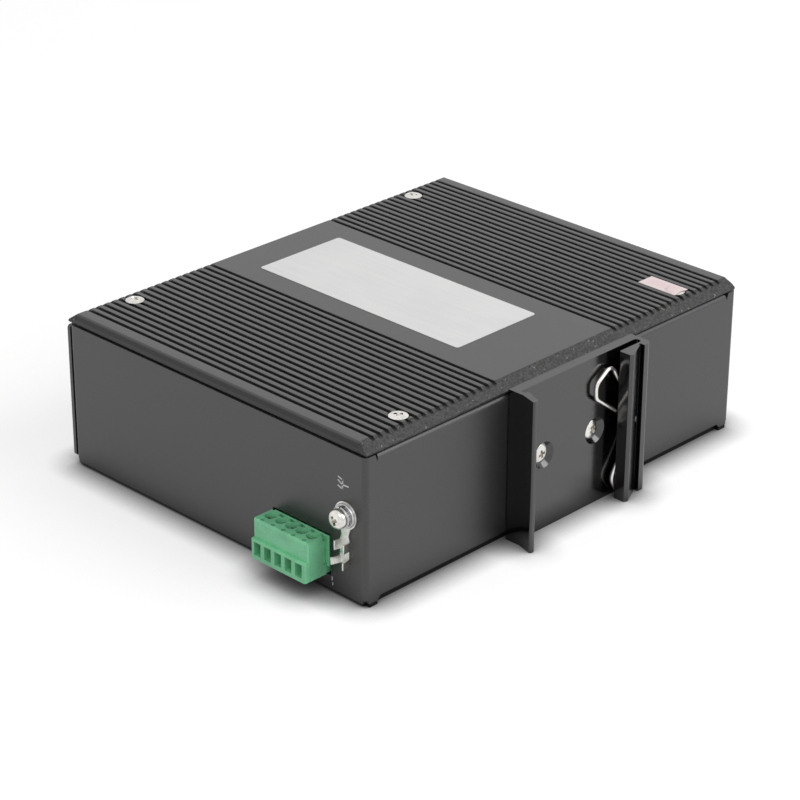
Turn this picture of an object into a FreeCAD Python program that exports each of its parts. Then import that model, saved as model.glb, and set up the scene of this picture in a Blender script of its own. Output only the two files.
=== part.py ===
import FreeCAD, Part
import math
import os

# DIN rail ethernet switch, lying on its broad side as it leaves the rail.
# +X points out of the terminal face, +Y out of the rail clip, -Y out of the port face, +Z out of the finned cover.
# The origin is the middle of the housing's underside. All sizes are in millimetres.

Vec = FreeCAD.Vector
OUT = "parts"

# ---------------------------------------------------------------- driving dimensions
LENGTH = 135.0          # along X, the height of the switch once it hangs on the rail
DEPTH = 106.0           # along Y, port face to back wall
SHEET_TOP = 39.2        # top edge of the folded steel box
TOTAL_HEIGHT = 42.3     # top of the cover's ridges
SHEET = 1.0             # steel sheet thickness
BEND = 1.4              # outer bend radius of the sheet
FACE_PLATE = 1.0        # plate in front of the ports

HALF = LENGTH / 2
BACK = DEPTH / 2
FRONT = -DEPTH / 2
WALL_FRONT = FRONT + FACE_PLATE

# folded box
SEAM_HEIGHT = 1.1       # open seam between an end wall and the base
SEAM_END = 3.9          # the seam stops this far from each corner
FLANGE_DEPTH = 10.0     # top flanges that carry the cover
FLANGE_END = 4.3        # a flange stops this far from each corner
RELIEF = 1.1            # corner relief between the bends

# finned cover
COVER_INSET = 0.5       # the cover stands this far inside the box on the long sides
COVER_END_INSET = 0.1   # and this far at the port and clip ends
COVER_GAP = 0.35        # shadow gap under the cover's rim
COVER_SEAT = 1.8        # the rim is relieved this far in from its edge
COVER_RIM = 1.3         # upright part of the rim
COVER_SHOULDER = 0.8    # run of the sloping shoulder on the long sides
END_RUN = 3.0           # milled slope at the port and clip ends, along Y
END_DROP = 2.2          # and its height
GROOVE_PITCH = 2.4
GROOVE_COUNT = 18       # on each side of the plain band
GROOVE_FIRST = 21.9     # middle of the groove beside the plain band
GROOVE_WIDTH = 1.15
GROOVE_DEPTH = 0.75
COVER_SCREW_X = 50.4
COVER_SCREW_Y = 46.6
LABEL = (-14.3, 14.3, -39.1, 31.2)
SEAL = (-53.1, -47.7, 36.5, 48.4)
FILM = 0.1

# rail clip, extruded along Z
CLIP_LENGTH = 40.5
CLIP_PLATE = 2.8
CLIP_SCREW_X = 9.4
CLIP_MID_Z = CLIP_LENGTH / 2
HOOK_SLOT_TOP = 4.75    # height of the spring's slot above the back wall
SPRING_RADIUS = 0.55
SPRING_HEIGHT = 4.15    # middle of the wire above the back wall
STAKE_X = -20.6

# earth connection on the terminal face
EARTH_Y = 47.0
EARTH_Z = 22.8
LUG_SHEET = 0.6
WASHER_SHEET = 0.6
LOCK_WASHER = 1.0

# pluggable terminal block
POLES = 5
POLE_PITCH = 3.5
PLUG_Y = 31.5
PLUG_WIDTH = 18.4
PLUG_BOTTOM = 4.9
PLUG_TOP = 15.1
PLUG_STEP = 10.1        # the wire entries below this height stand proud
PLUG_FACE = 75.15
PLUG_UPPER_FACE = 74.2
PLUG_BACK = 68.2
TONGUE_TIP = 59.1

# circuit board and jacks
BOARD_BOTTOM = 3.0
BOARD = 1.6
BOARD_TOP = BOARD_BOTTOM + BOARD
JACK_PITCH = 13.97
JACK_COLUMNS = 4
JACK_X = -14.0
JACK_WIDTH = 57.0
JACK_HEIGHT = 25.4
JACK_DEPTH = 25.0
JACK_FRONT = FRONT - 0.1
SHIELD = 0.25
PORT_WIDTH = 11.9
PORT_HEIGHT = 6.9
PORT_DEPTH = 13.0
PORT_ROWS = ((8.3, -1), (19.4, 1))    # lower edge of the mouth, side of the latch notch
CONTACTS = 8
CONTACT_PITCH = 1.02
LED_SPOTS = (26.0, 32.0, 38.0, 44.0)
LED_Z = 10.0
LED_WIDTH = 2.8
LED_HEIGHT = 2.0
STANDOFF_SPOTS = ((-59.0, -44.0), (59.0, -44.0), (-59.0, 45.0), (59.0, 46.0))
CHIP = (-14.0, 8.0)
CAN_SPOTS = ((24.0, 42.0), (12.0, 42.0))

# inside the terminal block
SCREW_X = 70.5
CAGE_X0 = 68.6
CAGE_X1 = 72.4
CAGE_Z0 = 5.6
CAGE_Z1 = 11.1
WELL_FLOOR = 11.9
PLUG_SCREW_HEAD = 2.3
TEST_X = 73.2
TEST_HOLE = 0.6
WIRE_Z0 = 6.0
WIRE_Z1 = 9.5
PIN_Z = 8.4
TONGUE_Z0 = 5.6
TONGUE_Z1 = 11.9
HEADER_X0 = 55.6
HEADER_FLOOR = 57.4
HEADER_STEP = 66.3
HEADER_FACE = 68.05
HEADER_Y0 = 22.5
HEADER_Y1 = 40.5
HEADER_TOP = 13.0
RAIL = (67.55, 68.05, 22.9, 41.4, 7.0, 15.1)   # lip outside the wall, behind the plug

# fasteners
COVER_HEAD = 2.6
COVER_HEAD_SINK = 0.15  # the heads' rims lie this far below the ridges
CLIP_HEAD = 2.45
CLIP_SINK = 3.55        # rim of the countersinks in the clip, wider than the heads
CLIP_HEAD_SINK = 1.07   # the heads' rims lie this far below the plate
HEAD_DOME = 0.45        # rise of the countersunk heads


# ---------------------------------------------------------------- helpers
def box(x0, x1, y0, y1, z0, z1):
    return Part.makeBox(x1 - x0, y1 - y0, z1 - z0, Vec(x0, y0, z0))


def gon(radius, start, direction, length, sides=12):
    """Regular prism, for small shanks, heads and holes that stay out of sight."""
    turns = [2 * math.pi * k / sides for k in range(sides)]
    corners = [Vec(radius * math.cos(t), radius * math.sin(t), 0) for t in turns]
    post = Part.Face(Part.makePolygon(corners + corners[:1])).extrude(Vec(0, 0, length))
    post.Placement = FreeCAD.Placement(Vec(*start), FreeCAD.Rotation(Vec(0, 0, 1), Vec(*direction)))
    return post


def turned(profile, spot, direction, sides=20):
    """Solid round an axis from radii and heights, with flats all round; direction points up the heights."""
    turns = [2 * math.pi * k / sides for k in range(sides)]
    rings = [[Vec(r * math.cos(t), r * math.sin(t), h) for t in turns] for r, h in profile]
    faces = [Part.Face(Part.makePolygon(ring + ring[:1])) for ring in (rings[0], rings[-1])]
    for upper, lower in zip(rings, rings[1:]):
        for k in range(sides):
            n = (k + 1) % sides
            faces.append(Part.Face(Part.makePolygon([upper[k], lower[k], lower[n], upper[n], upper[k]])))
    solid = Part.makeSolid(Part.makeShell(faces))
    if solid.Volume < 0:
        solid.reverse()
    solid.Placement = FreeCAD.Placement(Vec(*spot), FreeCAD.Rotation(Vec(0, 0, 1), Vec(*direction)))
    return solid


def fuse(first, *others):
    return first.multiFuse(list(others)).removeSplitter()


def cut(first, *others):
    return first.cut(list(others))


def prism(points, low, high, axis):
    """Closed polygon extruded along an axis; the points hold the two other coordinates in X, Y, Z order."""
    place = {
        "x": lambda a, b: Vec(low, a, b),
        "y": lambda a, b: Vec(a, low, b),
        "z": lambda a, b: Vec(a, b, low),
    }[axis]
    along = {"x": Vec(1, 0, 0), "y": Vec(0, 1, 0), "z": Vec(0, 0, 1)}[axis]
    corners = [place(a, b) for a, b in points]
    face = Part.Face(Part.makePolygon(corners + corners[:1]))
    return face.extrude(along * (high - low))


def rounded_plate(x0, x1, y0, y1, z0, z1, radius, axis="z"):
    """A box whose four edges along one axis are rounded."""
    plate = box(x0, x1, y0, y1, z0, z1)
    pick = {"x": 0, "y": 1, "z": 2}[axis]
    edges = []
    for edge in plate.Edges:
        run = edge.Vertexes[1].Point - edge.Vertexes[0].Point
        if abs(abs(run[pick]) - run.Length) < 1e-6:
            edges.append(edge)
    return plate.makeFillet(radius, edges)


def fillet_upright(shape, radius, spots, axis="z"):
    """Rounds the edges along an axis whose two other coordinates are listed."""
    pick = {"x": 0, "y": 1, "z": 2}[axis]
    others = [n for n in range(3) if n != pick]
    edges = []
    for edge in shape.Edges:
        run = edge.Vertexes[-1].Point - edge.Vertexes[0].Point
        if run.Length < 1e-6 or abs(abs(run[pick]) - run.Length) > 1e-6:
            continue
        here = edge.Vertexes[0].Point
        if any(math.hypot(here[others[0]] - a, here[others[1]] - b) < 1e-3 for a, b in spots):
            edges.append(edge)
    return shape.makeFillet(radius, edges)


def smooth_path(points, radii):
    """Straight runs joined by tangent arcs through a list of points."""
    edges = []
    start = points[0]
    for i in range(1, len(points) - 1):
        corner = points[i]
        back = (points[i - 1] - corner).normalize()
        ahead = (points[i + 1] - corner).normalize()
        turn = math.pi - back.getAngle(ahead)
        setback = radii[i - 1] * math.tan(turn / 2)
        first = corner + back * setback
        last = corner + ahead * setback
        bisector = (back + ahead).normalize()
        middle = corner + bisector * (radii[i - 1] / math.cos(turn / 2) - radii[i - 1])
        if (first - start).Length > 1e-6:
            edges.append(Part.LineSegment(start, first).toShape())
        edges.append(Part.Arc(first, middle, last).toShape())
        start = last
    edges.append(Part.LineSegment(start, points[-1]).toShape())
    return Part.Wire(edges)


def save(name, shape):
    shape.exportStep(os.path.join(OUT, name + ".step"))


def save_group(name, solids):
    save(name, Part.makeCompound(solids))


def cross_recess(centre, direction, size, width, depth):
    """Cross sunk straight down from a screw head's top."""
    long, short = size / 2, width / 2
    corner = [(long, short), (short, short), (short, long)]
    outline = []
    for turn in range(4):
        for a, b in corner:
            for _ in range(turn):
                a, b = -b, a
            outline.append(Vec(a, b, 0))
    recess = Part.Face(Part.makePolygon(outline + outline[:1])).extrude(Vec(0, 0, 2 * depth))
    recess.translate(Vec(0, 0, -depth))
    recess.rotate(Vec(0, 0, 0), Vec(0, 0, 1), 20)
    recess.Placement = FreeCAD.Placement(
        Vec(*centre), FreeCAD.Rotation(Vec(0, 0, 1), Vec(*direction))
    ).multiply(recess.Placement)
    return recess


def turned_screw(profile, spot, direction, recess_size, recess_depth):
    """Turns a screw and sinks its cross; direction points out of the head."""
    crown = profile[0][1]
    top = tuple(s + d * crown for s, d in zip(spot, direction))
    return turned(profile, spot, direction).cut(cross_recess(top, direction, recess_size, 0.6, recess_depth))


def raised_screw(head_r, shank_r, length, rim, direction):
    """Countersunk screw with a raised head, whose rim is at a point."""
    profile = [(head_r * 0.7, HEAD_DOME), (head_r, 0), (shank_r, shank_r - head_r), (shank_r, -length)]
    return turned_screw(profile, rim, direction, head_r * 1.25, 1.1)


def pan_screw(head_r, head_h, shank_r, length, seat, direction):
    """Pan head screw seated at a point."""
    profile = [(head_r * 0.7, head_h), (head_r, head_h * 0.6), (head_r, 0), (shank_r, 0), (shank_r, -length)]
    return turned_screw(profile, seat, direction, head_r * 1.2, head_h * 0.6)


# ---------------------------------------------------------------- folded steel box
def chassis():
    """Base, two long end walls and the wrapped port and clip walls, folded from one sheet."""
    channel = cut(
        rounded_plate(-HALF, HALF, WALL_FRONT + BEND, BACK - BEND, 0, 60, BEND, "y"),
        rounded_plate(-HALF + SHEET, HALF - SHEET, FRONT, BACK, SHEET, 70, BEND - SHEET, "y"),
        box(-HALF - 1, HALF + 1, FRONT, BACK, SHEET_TOP, 80),
    )
    base = box(-HALF + BEND, HALF - BEND, WALL_FRONT, BACK, 0, SHEET)
    band = cut(
        rounded_plate(-HALF, HALF, WALL_FRONT, BACK, SHEET, SHEET_TOP, BEND),
        rounded_plate(-HALF + SHEET, HALF - SHEET, WALL_FRONT + SHEET, BACK - SHEET, 0, 50, BEND - SHEET),
    )
    # the top of the port and clip walls turns inward into flanges
    flange_half = HALF - FLANGE_END + 0.5
    band = band.cut(box(-flange_half, flange_half, FRONT, BACK + 1, SHEET_TOP - BEND, SHEET_TOP + 1))
    flanges = cut(
        rounded_plate(-flange_half, flange_half, WALL_FRONT, BACK, -20, SHEET_TOP, BEND, "x"),
        rounded_plate(-HALF, HALF, WALL_FRONT + SHEET, BACK - SHEET, -19, SHEET_TOP - SHEET, BEND - SHEET, "x"),
        box(-HALF, HALF, FRONT, BACK + 1, -21, SHEET_TOP - BEND),
        box(-HALF, HALF, WALL_FRONT + FLANGE_DEPTH, BACK - FLANGE_DEPTH, 0, SHEET_TOP + 1),
    )
    shell = fuse(channel, base, band, flanges)

    cuts = []
    for sx in (-1, 1):
        for sy in (-1, 1):
            cuts.append(gon(1.35, (sx * COVER_SCREW_X, sy * COVER_SCREW_Y, 30), (0, 0, 1), 20))
    # the wrapped walls end short of the base, which is set back under them; the seams' ends are slanted
    seam_half = HALF - SEAM_END
    slant = 1.0
    seam = [
        (-seam_half, -1),
        (seam_half, -1),
        (seam_half, SHEET),
        (seam_half - slant, SHEET + SEAM_HEIGHT),
        (-seam_half + slant, SHEET + SEAM_HEIGHT),
        (-seam_half, SHEET),
    ]
    cuts.append(prism(seam, BACK - SHEET - 0.2, BACK + 1, "y"))
    cuts.append(prism(seam, WALL_FRONT - 1, WALL_FRONT + SHEET + 0.2, "y"))
    # relief slots at the bottom corners and relief notches at the flange ends
    for sx in (-1, 1):
        for y, sy in ((BACK, 1), (WALL_FRONT, -1)):
            slot_x = sorted((sx * (HALF - RELIEF), sx * (HALF + 1)))
            slot_y = sorted((y - sy * RELIEF, y + sy))
            cuts.append(box(slot_x[0], slot_x[1], slot_y[0], slot_y[1], SHEET, SHEET + 0.9))
            notch_x = sx * (HALF - FLANGE_END + 0.5)
            notch = [
                (notch_x - 0.6, SHEET_TOP + 0.1),
                (notch_x + 0.6, SHEET_TOP + 0.1),
                (notch_x, SHEET_TOP - BEND - 0.4),
            ]
            y0 = min(y + sy * 0.5, y - sy * (BEND + 0.6))
            cuts.append(prism(notch, y0, y0 + BEND + 1.1, "y"))
            end = sorted((sx * (HALF - FLANGE_END), sx * HALF))
            y0 = BACK - FLANGE_DEPTH - 1 if sy > 0 else WALL_FRONT + SHEET + 0.4
            y1 = BACK - SHEET - 0.4 if sy > 0 else WALL_FRONT + FLANGE_DEPTH + 1
            cuts.append(box(end[0], end[1] - (0.0 if sx < 0 else SHEET), y0, y1, SHEET_TOP - SHEET, SHEET_TOP + 1))
    shell = cut(shell, *cuts)

    openings = [
        box(
            HALF - 3, HALF + 3, PLUG_Y - PLUG_WIDTH / 2 - 0.35, RAIL[3] + 0.2,
            PLUG_BOTTOM - 0.35, PLUG_TOP + 0.35,
        ),
        gon(1.65, (HALF - 3, EARTH_Y, EARTH_Z), (1, 0, 0), 6),
        box(JACK_X - JACK_WIDTH / 2 - 0.3, JACK_X + JACK_WIDTH / 2 + 0.3, FRONT - 3, WALL_FRONT + 3, 3.2, 30.4),
    ]
    openings.append(box(LED_SPOTS[0] - 2, LED_SPOTS[-1] + 2, FRONT - 3, WALL_FRONT + 3, LED_Z - 1.8, LED_Z + 1.8))
    for sx in (-1, 1):
        openings.append(gon(1.65, (sx * CLIP_SCREW_X, BACK - 3, CLIP_MID_Z), (0, 1, 0), 6))
    return cut(shell, *openings)


def front_panel():
    """Plate in front of the ports, with one window for the jacks and small ones for the lamps."""
    plate = rounded_plate(-HALF + 0.2, HALF - 0.2, FRONT, WALL_FRONT, 2.1, SHEET_TOP - 0.5, 0.9, "y")
    window = box(
        JACK_X - JACK_WIDTH / 2 - 0.15, JACK_X + JACK_WIDTH / 2 + 0.15,
        FRONT - 1, WALL_FRONT + 1, BOARD_TOP - 0.2, BOARD_TOP + JACK_HEIGHT + 0.2,
    )
    lamps = [lamp_bar(x, FRONT - 1, WALL_FRONT + 1, 0.05) for x in LED_SPOTS]
    return cut(plate, window, *lamps)


def lamp_bar(x, y0, y1, room=0.0):
    """Rectangular bar on a lamp's axis; room makes it a hole for one."""
    w, h = LED_WIDTH / 2 + room, LED_HEIGHT / 2 + room
    return box(x - w, x + w, y0, y1, LED_Z - h, LED_Z + h)


# ---------------------------------------------------------------- finned cover
def groove_positions():
    first = [GROOVE_FIRST + GROOVE_PITCH * k for k in range(GROOVE_COUNT)]
    return [-x for x in reversed(first)] + first


def finned_cover():
    """Extruded section with its grooves, run along Y, then milled at both ends and countersunk."""
    half_x = HALF - COVER_INSET
    half_y = BACK - COVER_END_INSET
    rim_base = SHEET_TOP + COVER_GAP
    rim_top = rim_base + COVER_RIM
    outline = [(-half_x + COVER_SEAT, SHEET_TOP), (half_x - COVER_SEAT, SHEET_TOP)]
    outline += [(half_x - COVER_SEAT, rim_base), (half_x, rim_base), (half_x, rim_top)]
    outline += [(half_x - COVER_SHOULDER, TOTAL_HEIGHT)]
    for x in reversed(groove_positions()):
        w = GROOVE_WIDTH / 2
        foot = w * 0.88
        outline += [(x + w, TOTAL_HEIGHT), (x + foot, TOTAL_HEIGHT - GROOVE_DEPTH)]
        outline += [(x - foot, TOTAL_HEIGHT - GROOVE_DEPTH), (x - w, TOTAL_HEIGHT)]
    outline += [(-half_x + COVER_SHOULDER, TOTAL_HEIGHT), (-half_x, rim_top)]
    outline += [(-half_x, rim_base), (-half_x + COVER_SEAT, rim_base)]
    plate = prism(outline, -half_y, half_y, "y")
    shoulders = [(sx * half_x, rim_top) for sx in (-1, 1)]
    plate = fillet_upright(plate, 0.7, shoulders, "y")

    cuts = []
    for side in (-1, 1):
        corner = [
            (side * half_y, TOTAL_HEIGHT - END_DROP),
            (side * (half_y + 1), TOTAL_HEIGHT - END_DROP),
            (side * (half_y + 1), TOTAL_HEIGHT + END_DROP),
            (side * (half_y - 2 * END_RUN), TOTAL_HEIGHT + END_DROP),
        ]
        cuts.append(prism(corner, -half_x - 1, half_x + 1, "x"))
        rim = sorted((side * (half_y - COVER_SEAT), side * (half_y + 1)))
        cuts.append(box(-half_x - 1, half_x + 1, rim[0], rim[1], SHEET_TOP - 1, rim_base))
    sink = COVER_HEAD + COVER_HEAD_SINK + 0.03
    for sx in (-1, 1):
        for sy in (-1, 1):
            x, y = sx * COVER_SCREW_X, sy * COVER_SCREW_Y
            cuts.append(gon(1.35, (x, y, SHEET_TOP - 1), (0, 0, 1), 5))
            cuts.append(turned([(sink + 1, 1), (1.0, 1.0 - sink)], (x, y, TOTAL_HEIGHT), (0, 0, 1)))
    return cut(plate, *cuts)


def cover_screws():
    top = TOTAL_HEIGHT - COVER_HEAD_SINK
    return [
        raised_screw(COVER_HEAD, 1.25, 5.6, (sx * COVER_SCREW_X, sy * COVER_SCREW_Y, top), (0, 0, 1))
        for sx in (-1, 1)
        for sy in (-1, 1)
    ]


def rating_label():
    return rounded_plate(*LABEL, TOTAL_HEIGHT, TOTAL_HEIGHT + FILM, 0.8)


def seal_sticker():
    """Film over one cover screw, pressed down round its raised head."""
    low, high = TOTAL_HEIGHT, TOTAL_HEIGHT + FILM
    rise = HEAD_DOME - COVER_HEAD_SINK
    spot = (-COVER_SCREW_X, COVER_SCREW_Y, TOTAL_HEIGHT)
    bulge = turned([(COVER_HEAD * 0.7 + 0.15, rise + FILM), (COVER_HEAD + 0.5, 0)], spot, (0, 0, 1))
    film = fuse(box(*SEAL, low, high), bulge.common(box(*SEAL, low, high + 1)))
    return film.cut(turned([(COVER_HEAD * 0.7 + 0.05, rise + 0.01), (COVER_HEAD + 0.15, -0.2)], spot, (0, 0, 1)))


# ---------------------------------------------------------------- rail clip
def din_clip():
    """Extruded aluminium clip: a fixed jaw on one side, a hooked jaw with the spring's slot on the other."""
    profile = [
        (-25.1, 0.0),
        (19.6, 0.0),
        (19.6, 4.6),
        (20.9, 9.2),
        (19.3, 9.2),
        (17.45, 4.8),
        (17.45, 4.1),
        (18.4, 4.1),
        (18.4, CLIP_PLATE),
        (-23.85, CLIP_PLATE),
        (-23.85, HOOK_SLOT_TOP),
        (-15.35, HOOK_SLOT_TOP),
        (-15.35, 8.2),
        (-16.4, 8.55),
        (-21.6, 6.0),
        (-21.6, 5.45),
        (-22.4, 5.45),
        (-22.4, 6.9),
        (-25.1, 6.9),
    ]
    outline = [(x, BACK + y) for x, y in profile]
    clip = prism(outline, 0, CLIP_LENGTH, "z")
    roundings = (
        (0.5, ((20.9, 9.2), (19.3, 9.2))),
        (0.9, ((-23.85, CLIP_PLATE), (-23.85, HOOK_SLOT_TOP))),
        (1.5, ((-25.1, 6.9),)),
        (0.35, ((-15.35, 8.2), (-16.4, 8.55), (-15.35, HOOK_SLOT_TOP))),
        (0.4, ((19.6, 0.0), (-25.1, 0.0))),
    )
    for radius, spots in roundings:
        clip = fillet_upright(clip, radius, [(x, BACK + y) for x, y in spots])
    # the hook is staked down onto the spring, which leaves a dimple above and a foot below
    stake_z = CLIP_MID_Z + 0.45
    foot_y = BACK + SPRING_HEIGHT + SPRING_RADIUS + 0.01
    foot = gon(0.8, (STAKE_X, foot_y, stake_z), (0, 1, 0), BACK + HOOK_SLOT_TOP + 0.2 - foot_y, 8)
    clip = fuse(clip, foot)
    dimple = [(1.25, 0.25), (0.5, -0.5)]
    clip = clip.cut(turned(dimple, (STAKE_X, BACK + 6.49, stake_z), (-0.44, 0.898, 0), 12))
    for sx in (-1, 1):
        x, top = sx * CLIP_SCREW_X, BACK + CLIP_PLATE
        clip = clip.cut(gon(1.65, (x, BACK - 1, CLIP_MID_Z), (0, 1, 0), 6))
        sink = [(CLIP_SINK + 1, 1), (1.2, 1.2 - CLIP_SINK)]
        clip = clip.cut(turned(sink, (x, top, CLIP_MID_Z), (0, 1, 0)))
    return clip


def clip_spring():
    """Bent wire that pushes the rail off the hook; it lies in the slot and bows out at both ends."""
    turns = [
        (-18.3, 28.5),
        (-13.25, 37.4),
        (-7.6, 33.65),
        (-7.8, 29.9),
        (-22.6, 18.8),
        (-14.6, 5.2),
        (-17.3, 0.9),
    ]
    radii = [2.2, 2.6, 2.2, 1.0, 3.0]
    height = BACK + SPRING_HEIGHT
    path = smooth_path([Vec(x, height, z) for x, z in turns], radii)
    run = (Vec(turns[1][0], 0, turns[1][1]) - Vec(turns[0][0], 0, turns[0][1])).normalize()
    side = run.cross(Vec(0, 1, 0))
    start = Vec(turns[0][0], height, turns[0][1])
    across = SPRING_RADIUS / math.cos(math.pi / 8)
    corners = []
    for k in range(8):
        t = math.pi * (k + 0.5) / 4
        corners.append(start + (side * math.cos(t) + Vec(0, 1, 0) * math.sin(t)) * across)
    return path.makePipeShell([Part.makePolygon(corners + corners[:1])], True, False)


def clip_screws():
    rim = BACK + CLIP_PLATE - CLIP_HEAD_SINK
    return [raised_screw(CLIP_HEAD, 1.5, 5.0, (sx * CLIP_SCREW_X, rim, CLIP_MID_Z), (0, 1, 0)) for sx in (-1, 1)]


def clinch_nut(spot, outward):
    """Hexagonal nut pressed against the inside of the sheet."""
    x, y, z = spot
    ox, oy, oz = outward
    nut = gon(3.3, (x - ox * 1.8, y - oy * 1.8, z - oz * 1.8), outward, 1.8, 6)
    bore = gon(1.58, (x - ox * 3, y - oy * 3, z - oz * 3), outward, 6)
    return nut.cut(bore)


def clinch_nuts():
    inner = BACK - SHEET
    nuts = [clinch_nut((sx * CLIP_SCREW_X, inner, CLIP_MID_Z), (0, 1, 0)) for sx in (-1, 1)]
    nuts.append(clinch_nut((HALF - SHEET, EARTH_Y, EARTH_Z), (1, 0, 0)))
    return nuts


# ---------------------------------------------------------------- earth connection
def ground_ring_terminal():
    """Ring tongue with an open barrel: two pairs of wings stand up from one folded strip."""
    x0, x1 = HALF, HALF + LUG_SHEET
    ring = gon(3.5, (x0, EARTH_Y, EARTH_Z), (1, 0, 0), LUG_SHEET, 28)
    strip = [
        (EARTH_Y - 1.9, EARTH_Z - 2.4),
        (EARTH_Y - 1.1, EARTH_Z - 5.2),
        (EARTH_Y - 1.5, EARTH_Z - 6.4),
        (EARTH_Y - 1.5, EARTH_Z - 12.9),
        (EARTH_Y + 1.5, EARTH_Z - 12.9),
        (EARTH_Y + 1.5, EARTH_Z - 6.4),
        (EARTH_Y + 1.1, EARTH_Z - 5.2),
        (EARTH_Y + 1.9, EARTH_Z - 2.4),
    ]
    parts = [ring, prism(strip, x0, x1, "x")]
    wings = ((-9.0, -6.6, 2.5, 0.25), (-12.9, -11.0, 3.1, 0.7))
    for low, high, rise, lean in wings:
        for side in (-1, 1):
            wing = [
                (x0, EARTH_Y + side * 1.5),
                (x0 + rise, EARTH_Y + side * (1.5 + lean)),
                (x0 + rise, EARTH_Y + side * (1.05 + lean)),
                (x1, EARTH_Y + side * 0.95),
                (x0, EARTH_Y + side * 0.9),
            ]
            parts.append(prism(wing, EARTH_Z + low, EARTH_Z + high, "z"))
    lug = fuse(*parts)
    lug = lug.cut(gon(1.65, (x0 - 1, EARTH_Y, EARTH_Z), (1, 0, 0), 4))
    lug.rotate(Vec(x0, EARTH_Y, EARTH_Z), Vec(1, 0, 0), -2.0)
    return lug


def ground_flat_washer():
    x = HALF + LUG_SHEET
    ring = gon(3.15, (x, EARTH_Y, EARTH_Z), (1, 0, 0), WASHER_SHEET, 24)
    return ring.cut(gon(1.65, (x - 1, EARTH_Y, EARTH_Z), (1, 0, 0), 3))


def ground_lock_washer():
    """Split ring whose ends are cut on the slant."""
    x = HALF + LUG_SHEET + WASHER_SHEET
    ring = gon(2.75, (x, EARTH_Y, EARTH_Z), (1, 0, 0), LOCK_WASHER, 24)
    ring = ring.cut(gon(1.65, (x - 1, EARTH_Y, EARTH_Z), (1, 0, 0), 3))
    x0, x1 = x - 0.1, x + LOCK_WASHER + 0.1
    split = [(x0, EARTH_Y - 0.55), (x0, EARTH_Y - 0.15), (x1, EARTH_Y + 0.55), (x1, EARTH_Y + 0.15)]
    return ring.cut(prism(split, EARTH_Z - 3.5, EARTH_Z - 1, "z"))


def ground_screw():
    seat = (HALF + LUG_SHEET + WASHER_SHEET + LOCK_WASHER, EARTH_Y, EARTH_Z)
    return pan_screw(2.5, 2.3, 1.5, 7.6, seat, (1, 0, 0))


# ---------------------------------------------------------------- pluggable terminal block
def pole_positions():
    return [PLUG_Y + POLE_PITCH * (k - (POLES - 1) / 2) for k in range(POLES)]


def plug_housing():
    """Stepped body in front of the wall and a tongue that enters the header, hollowed for each pole."""
    y0, y1 = PLUG_Y - PLUG_WIDTH / 2, PLUG_Y + PLUG_WIDTH / 2
    profile = [
        (PLUG_BACK, PLUG_BOTTOM),
        (PLUG_FACE, PLUG_BOTTOM),
        (PLUG_FACE, PLUG_STEP - 0.3),
        (PLUG_FACE - 0.3, PLUG_STEP),
        (PLUG_UPPER_FACE, PLUG_STEP),
        (PLUG_UPPER_FACE, PLUG_TOP - 0.5),
        (PLUG_UPPER_FACE - 0.5, PLUG_TOP),
        (PLUG_BACK, PLUG_TOP),
    ]
    body = prism(profile, y0, y1, "y")
    tongue = box(TONGUE_TIP, PLUG_BACK + 0.4, HEADER_Y0 + 1.0, HEADER_Y1 - 1.0, TONGUE_Z0, TONGUE_Z1)
    body = fuse(body, tongue)
    body = fillet_upright(body, 0.5, [(x, y) for x in (PLUG_UPPER_FACE, PLUG_FACE) for y in (y0, y1)])
    # the end face is relieved at the back, beside the header's rail, and scored behind its front edge
    cuts = [box(PLUG_BACK - 1, PLUG_BACK + 1.1, y1 - 0.5, y1 + 1, PLUG_BOTTOM + 2.6, PLUG_TOP + 1)]
    score = [(73.2, y1 + 0.1), (73.5, y1 + 0.1), (73.35, y1 - 0.15)]
    cuts.append(prism(score, PLUG_BOTTOM - 1, PLUG_TOP + 1, "z"))
    for y in pole_positions():
        cuts.append(box(CAGE_X1 - 0.2, PLUG_FACE + 1, y - 1.125, y + 1.125, WIRE_Z0, WIRE_Z1))
        cuts.append(box(CAGE_X0 - 0.06, CAGE_X1 + 0.06, y - 1.36, y + 1.36, CAGE_Z0 - 0.06, CAGE_Z1 + 0.06))
        cuts.append(gon(1.08, (SCREW_X, y, CAGE_Z1 - 0.2), (0, 0, 1), 2, 8))
        cuts.append(gon(1.55, (SCREW_X, y, WELL_FLOOR), (0, 0, 1), 6, 16))
        cuts.append(gon(TEST_HOLE, (TEST_X, y, WIRE_Z1 - 0.5), (0, 0, 1), 7, 6))
        notch_y = y + POLE_PITCH / 2
        cuts.append(box(PLUG_BACK - 1, PLUG_BACK + 1.0, notch_y - 0.8, notch_y + 0.8, PLUG_TOP - 1.6, PLUG_TOP + 1))
        # the pole's contact reaches from the tongue's tip to the clamp
        cuts.append(box(TONGUE_TIP - 1, CAGE_X0, y - 0.96, y + 0.96, PIN_Z - 1.36, PIN_Z + 1.36))
        cuts.append(box(CAGE_X0 - 1.7, CAGE_X0, y - 0.8, y + 0.8, CAGE_Z0 + 0.36, PIN_Z))
    return cut(body, *cuts)


def plug_clamps():
    """Square cages, tapped at the top, that rise and grip the wire."""
    cages = []
    for y in pole_positions():
        cage = box(CAGE_X0, CAGE_X1, y - 1.3, y + 1.3, CAGE_Z0, CAGE_Z1)
        cage = cage.cut(box(CAGE_X0 - 1, CAGE_X1 + 1, y - 0.95, y + 0.95, CAGE_Z0 + 0.4, CAGE_Z1 - 1.2))
        cages.append(cage.cut(gon(1.02, (SCREW_X, y, CAGE_Z1 - 2), (0, 0, 1), 3, 8)))
    return cages


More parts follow.
